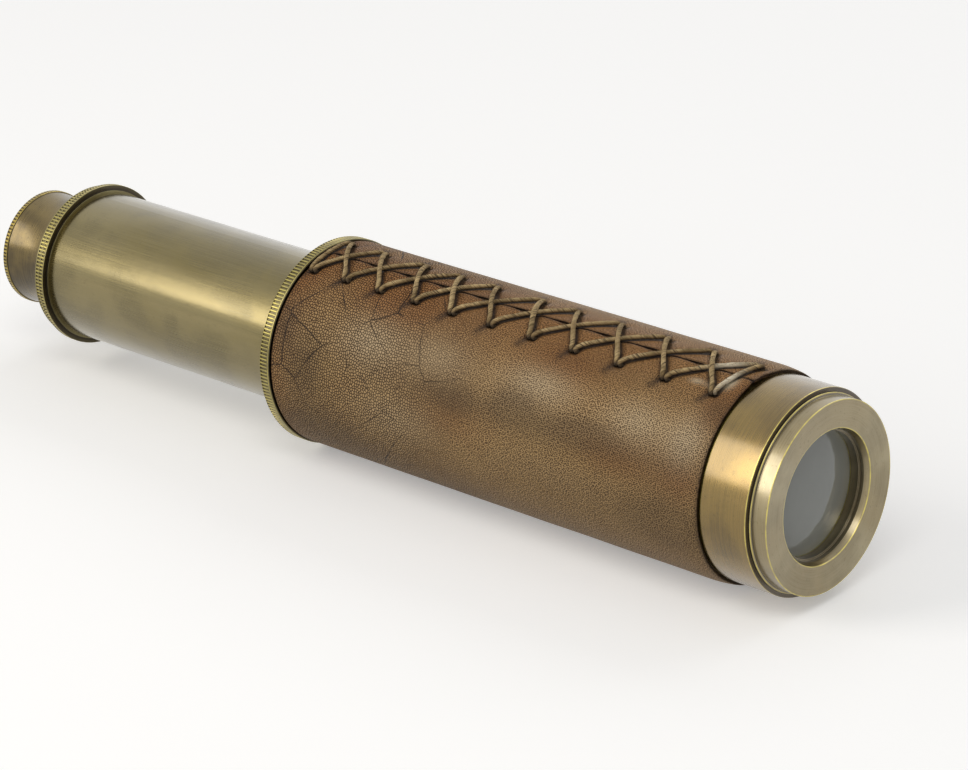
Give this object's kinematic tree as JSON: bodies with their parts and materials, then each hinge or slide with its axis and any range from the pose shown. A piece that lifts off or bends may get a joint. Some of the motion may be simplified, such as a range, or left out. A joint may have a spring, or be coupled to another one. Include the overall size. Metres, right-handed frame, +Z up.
{
  "type": "spyglass",
  "caption": "Hand-held brass telescope with a laced leather barrel, knurled collars, sliding draw tubes and a flared eyecup, shown with its largest draw pulled out.",
  "frame": {"origin": "centre of the objective ring's front face, on the line of sight", "axes": "+X along the line of sight, out of the objective; +Z up, with the lacing near the top; the eyepiece points towards -X"},
  "size_m": [0.2838, 0.0568, 0.0588],
  "materials": {
    "satin_brass": "turned brass with a satin lacquer, slightly tarnished",
    "polished_brass": "drawn brass tube, polished, with fine lengthwise scratches",
    "knurled_brass": "knurled brass, tarnished in the grooves and bright on the tips",
    "antiqued_brass": "antiqued brass, brown, rubbed bright on the edges",
    "inner_brass": "plain machined brass",
    "blackened_brass": "matt black inside finish",
    "leather": "brown vegetable-tanned leather with a fine crackled grain",
    "cord": "waxed twisted cord",
    "felt": "dark green felt",
    "foil": "thin metal foil",
    "optical_glass": "clear polished lens"
  },
  "bodies": {
    "barrel": {"objective_ring": "satin_brass", "objective_sleeve": "satin_brass", "crown_lens": "optical_glass", "lens_spacer": "foil", "flint_lens": "optical_glass", "glare_stop": "blackened_brass", "barrel_tube": "inner_brass", "leather_sheath": "leather", "lacing_cord": "cord", "rear_collar": "knurled_brass", "barrel_felt": "felt"},
    "draw_1": {"draw_1_tube": "polished_brass", "draw_1_stop_ring": "inner_brass", "draw_1_collar": "knurled_brass", "draw_1_felt": "felt"},
    "draw_2": {"draw_2_tube": "polished_brass", "draw_2_stop_ring": "inner_brass", "draw_2_collar": "knurled_brass", "draw_2_felt": "felt"},
    "draw_3": {"draw_3_tube": "polished_brass", "draw_3_stop_ring": "inner_brass", "eyecup": "antiqued_brass", "eye_lens": "optical_glass", "eye_lens_ring": "blackened_brass", "eyepiece_tube": "blackened_brass", "field_stop": "blackened_brass", "field_lens": "optical_glass", "field_lens_ring": "blackened_brass", "erector_tube": "blackened_brass", "erector_stop": "blackened_brass", "erector_front_lens": "optical_glass", "erector_front_ring": "blackened_brass", "erector_rear_lens": "optical_glass", "erector_rear_ring": "blackened_brass"}
  },
  "joints": [
    {"name": "draw_1_slide", "type": "slide", "parent": "barrel", "child": "draw_1", "axis": [-1, 0, 0], "range_m": [-0.091, 0.0198]},
    {"name": "draw_2_slide", "type": "slide", "parent": "draw_1", "child": "draw_2", "axis": [-1, 0, 0], "range_m": [0, 0.0991]},
    {"name": "draw_3_slide", "type": "slide", "parent": "draw_2", "child": "draw_3", "axis": [-1, 0, 0], "range_m": [0, 0.0907]}
  ]
}
